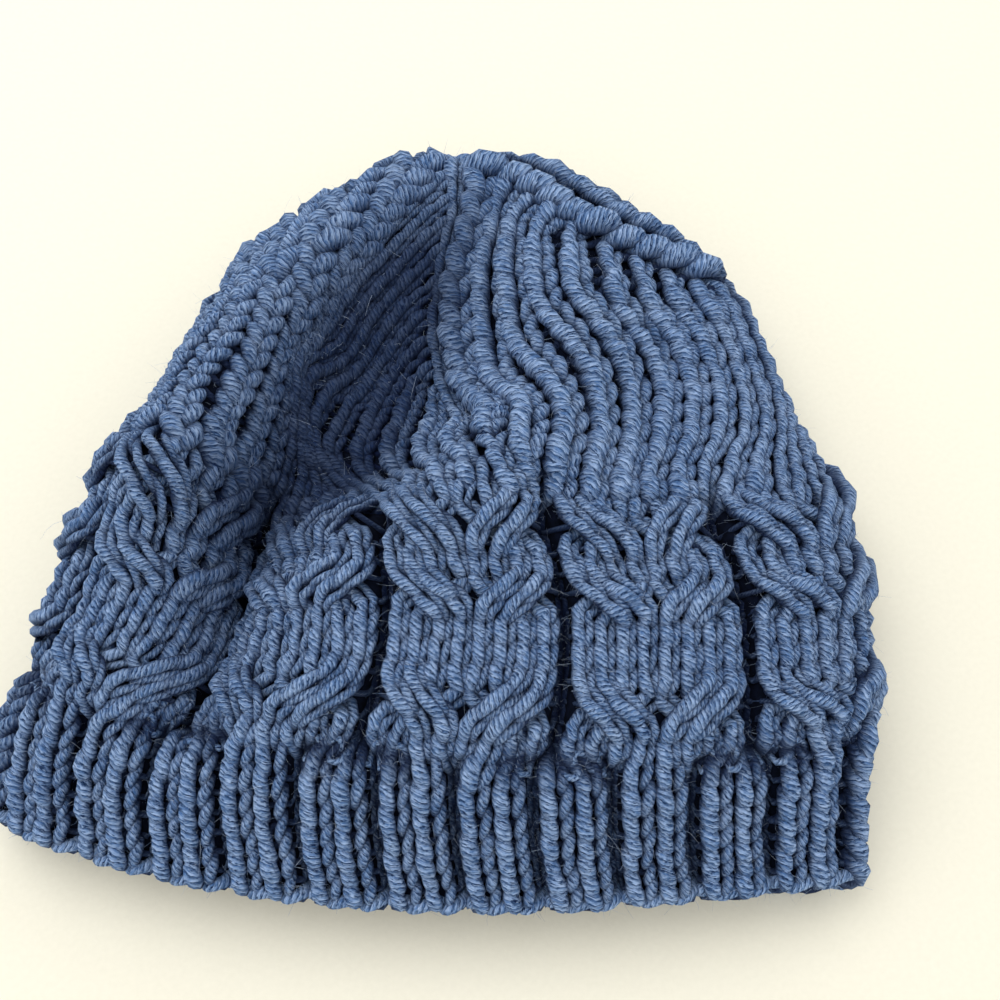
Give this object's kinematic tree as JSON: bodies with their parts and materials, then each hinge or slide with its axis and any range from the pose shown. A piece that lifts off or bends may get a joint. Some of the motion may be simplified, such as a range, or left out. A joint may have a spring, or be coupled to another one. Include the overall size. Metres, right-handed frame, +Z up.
{
  "type": "knitted beanie",
  "caption": "Hand-knitted close-fitting hat lying on its side, with a ribbed brim, a band of V cables and a plain gathered crown.",
  "frame": {"origin": "centre of the hat's footprint in plan, at the height of the surface it lies on", "axes": "+Z up; the open brim faces -Y and the closed crown lies towards +Y; X runs across the hat"},
  "size_m": [0.1586, 0.1614, 0.0508],
  "materials": {
    "rib_brim": "soft matt worsted yarn, denim blue, knitted in 2 by 2 rib",
    "cable_band": "soft matt worsted yarn, denim blue, knitted in V cables with purl gutters",
    "crown": "soft matt worsted yarn, denim blue, knitted plain"
  },
  "bodies": {
    "root": {"rib_brim": "rib_brim", "cable_band": "cable_band", "crown": "crown"}
  },
  "joints": []
}
